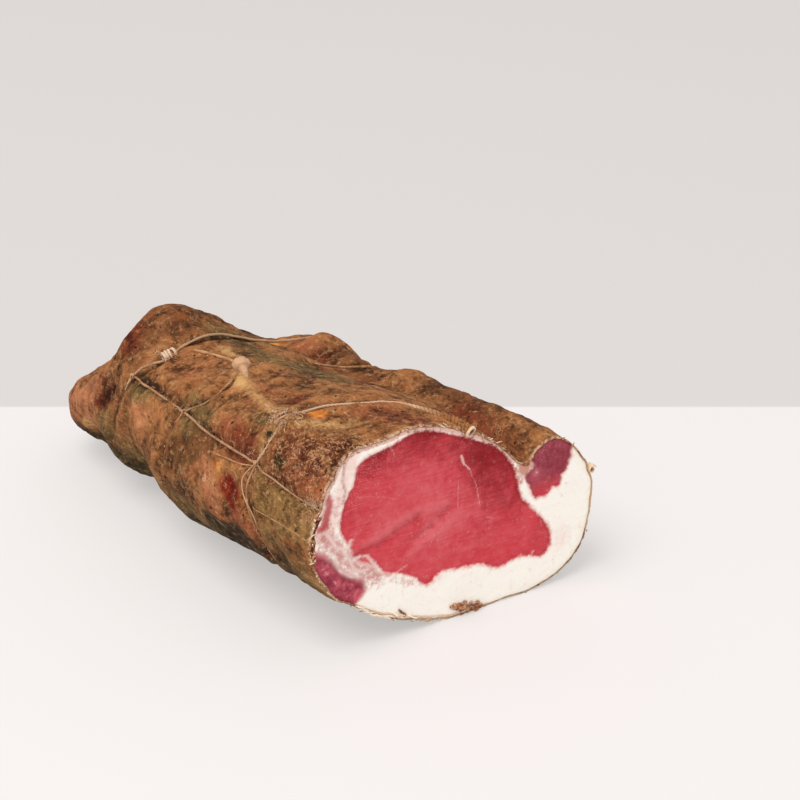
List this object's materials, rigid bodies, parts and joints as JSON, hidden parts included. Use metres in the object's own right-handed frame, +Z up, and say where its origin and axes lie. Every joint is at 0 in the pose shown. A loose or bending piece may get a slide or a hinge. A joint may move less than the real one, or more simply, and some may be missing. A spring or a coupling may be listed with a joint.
{
  "type": "cured pork loin half",
  "caption": "Half of a cured pork loin in its casing, tied with twine and cut straight through, with lean muscle set in fat at the cut.",
  "frame": {"origin": "under the middle of the bounding box, on the surface that the loin lies on", "axes": "+X along the loin towards the cut face, +Y across it towards the side lobe, +Z up"},
  "size_m": [0.1958, 0.1195, 0.0749],
  "materials": {
    "casing": "dry, wrinkled natural casing, ochre and red brown",
    "fat": "creamy cut fat, slightly waxy",
    "lean": "rose red cut lean, slightly moist",
    "dark_lean": "wine red cut lean",
    "twine": "stained cotton twine"
  },
  "bodies": {
    "root": {"casing": "casing", "fat": "fat", "lean_eye": "lean", "lean_lobe": "dark_lean", "lean_corner": "dark_lean", "twine": "twine"}
  },
  "joints": []
}
